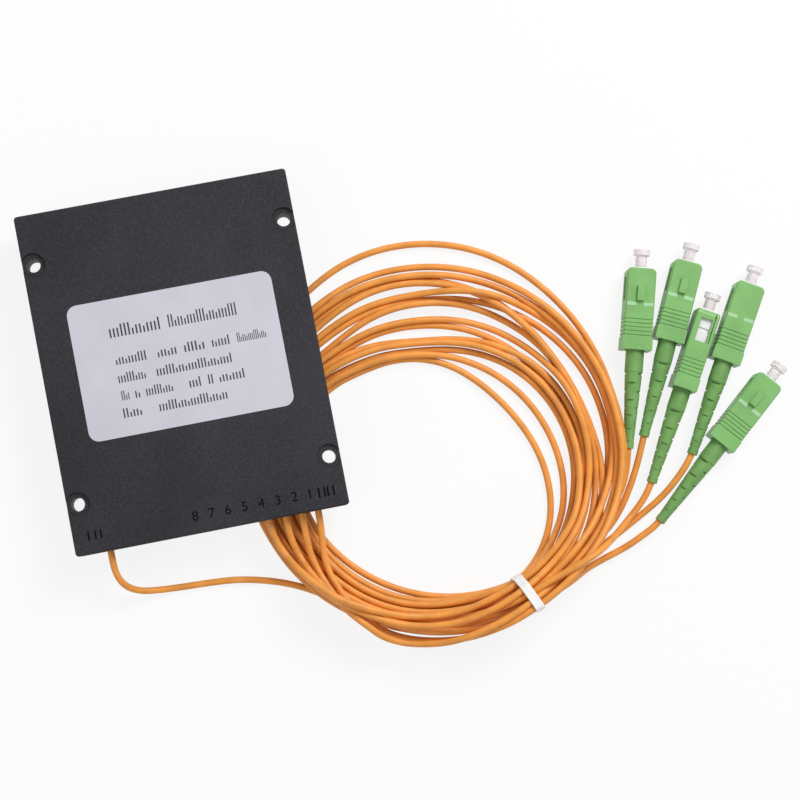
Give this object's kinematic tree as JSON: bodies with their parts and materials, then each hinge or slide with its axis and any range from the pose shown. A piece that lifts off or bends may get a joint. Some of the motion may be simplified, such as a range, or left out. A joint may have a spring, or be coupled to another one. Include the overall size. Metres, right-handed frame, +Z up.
{
  "type": "plc fibre splitter",
  "caption": "Flat fibre optic splitter box with one input cord and its output cords tied in one coil, each ending in a push-pull plug under a dust cap",
  "frame": {"origin": "centre of the splitter box", "axes": "+X across the box's 80 mm width towards the cords, +Y along its 100 mm length away from the ports, +Z up out of the label"},
  "size_m": [0.217, 0.1458, 0.0162],
  "materials": {
    "box": "fine pebble grain",
    "label": "satin silver film",
    "cord": "smooth orange jacket",
    "housing": "moulded satin green",
    "boot": "matte green",
    "frame": "moulded white",
    "cap": "clear soft plastic",
    "ceramic": "polished zirconia",
    "nickel": "nickel plated",
    "steel": "plain steel",
    "inner_fibre": "buffered fibre",
    "sleeve": "plain",
    "tie": "translucent white nylon"
  },
  "bodies": {
    "splitter": {"base_shell": "box", "top_cover": "box", "label": "label", "splitter_module": "steel", "inner_fibres": "inner_fibre", "anchor_sleeves": "sleeve", "lead_in": "cord", "lead_out_1": "cord", "lead_out_2": "cord", "lead_out_3": "cord", "lead_out_4": "cord", "cable_coil": "cord", "tie_band": "tie", "plug_frame_1": "frame", "stop_ring_1": "nickel", "crimp_sleeve_1": "nickel", "boot_1": "boot", "tail_1": "cord", "spring_1": "steel", "plug_frame_2": "frame", "stop_ring_2": "nickel", "crimp_sleeve_2": "nickel", "boot_2": "boot", "tail_2": "cord", "spring_2": "steel", "plug_frame_3": "frame", "stop_ring_3": "nickel", "crimp_sleeve_3": "nickel", "boot_3": "boot", "tail_3": "cord", "spring_3": "steel", "plug_frame_4": "frame", "stop_ring_4": "nickel", "crimp_sleeve_4": "nickel", "boot_4": "boot", "tail_4": "cord", "spring_4": "steel", "plug_frame_5": "frame", "stop_ring_5": "nickel", "crimp_sleeve_5": "nickel", "boot_5": "boot", "tail_5": "cord", "spring_5": "steel"},
    "housing_1": {"outer_housing_1": "housing"},
    "ferrule_body_1": {"ferrule_1": "ceramic"},
    "cap_1": {"dust_cap_1": "cap"},
    "housing_2": {"outer_housing_2": "housing"},
    "ferrule_body_2": {"ferrule_2": "ceramic"},
    "cap_2": {"dust_cap_2": "cap"},
    "housing_3": {"outer_housing_3": "housing"},
    "ferrule_body_3": {"ferrule_3": "ceramic"},
    "cap_3": {"dust_cap_3": "cap"},
    "housing_4": {"outer_housing_4": "housing"},
    "ferrule_body_4": {"ferrule_4": "ceramic"},
    "cap_4": {"dust_cap_4": "cap"},
    "housing_5": {"outer_housing_5": "housing"},
    "ferrule_body_5": {"ferrule_5": "ceramic"},
    "cap_5": {"dust_cap_5": "cap"}
  },
  "joints": [
    {"name": "housing_slide_1", "type": "slide", "parent": "splitter", "child": "housing_1", "axis": [0.2672, 0.9636, 0], "range_m": [-0.002, 0]},
    {"name": "ferrule_slide_1", "type": "slide", "parent": "splitter", "child": "ferrule_body_1", "axis": [0.2672, 0.9636, 0], "range_m": [-0.001, 0], "stiffness_N_per_m": 1000, "springref_m": 0.006, "deforming": ["spring_1"]},
    {"name": "cap_slide_1", "type": "slide", "parent": "ferrule_body_1", "child": "cap_1", "axis": [0.2672, 0.9636, 0], "range_m": [0, 0.012]},
    {"name": "housing_slide_2", "type": "slide", "parent": "splitter", "child": "housing_2", "axis": [0.4337, 0.9011, 0], "range_m": [-0.002, 0]},
    {"name": "ferrule_slide_2", "type": "slide", "parent": "splitter", "child": "ferrule_body_2", "axis": [0.4337, 0.9011, 0], "range_m": [-0.001, 0], "stiffness_N_per_m": 1000, "springref_m": 0.006, "deforming": ["spring_2"]},
    {"name": "cap_slide_2", "type": "slide", "parent": "ferrule_body_2", "child": "cap_2", "axis": [0.4337, 0.9011, 0], "range_m": [0, 0.012]},
    {"name": "housing_slide_3", "type": "slide", "parent": "splitter", "child": "housing_3", "axis": [0.497, 0.8678, 0], "range_m": [-0.002, 0]},
    {"name": "ferrule_slide_3", "type": "slide", "parent": "splitter", "child": "ferrule_body_3", "axis": [0.497, 0.8678, 0], "range_m": [-0.001, 0], "stiffness_N_per_m": 1000, "springref_m": 0.006, "deforming": ["spring_3"]},
    {"name": "cap_slide_3", "type": "slide", "parent": "ferrule_body_3", "child": "cap_3", "axis": [0.497, 0.8678, 0], "range_m": [0, 0.012]},
    {"name": "housing_slide_4", "type": "slide", "parent": "splitter", "child": "housing_4", "axis": [0.509, 0.8607, 0], "range_m": [-0.002, 0]},
    {"name": "ferrule_slide_4", "type": "slide", "parent": "splitter", "child": "ferrule_body_4", "axis": [0.509, 0.8607, 0], "range_m": [-0.001, 0], "stiffness_N_per_m": 1000, "springref_m": 0.006, "deforming": ["spring_4"]},
    {"name": "cap_slide_4", "type": "slide", "parent": "ferrule_body_4", "child": "cap_4", "axis": [0.509, 0.8607, 0], "range_m": [0, 0.012]},
    {"name": "housing_slide_5", "type": "slide", "parent": "splitter", "child": "housing_5", "axis": [0.7593, 0.6508, 0], "range_m": [-0.002, 0]},
    {"name": "ferrule_slide_5", "type": "slide", "parent": "splitter", "child": "ferrule_body_5", "axis": [0.7593, 0.6508, 0], "range_m": [-0.001, 0], "stiffness_N_per_m": 1000, "springref_m": 0.006, "deforming": ["spring_5"]},
    {"name": "cap_slide_5", "type": "slide", "parent": "ferrule_body_5", "child": "cap_5", "axis": [0.7593, 0.6508, 0], "range_m": [0, 0.012]}
  ]
}
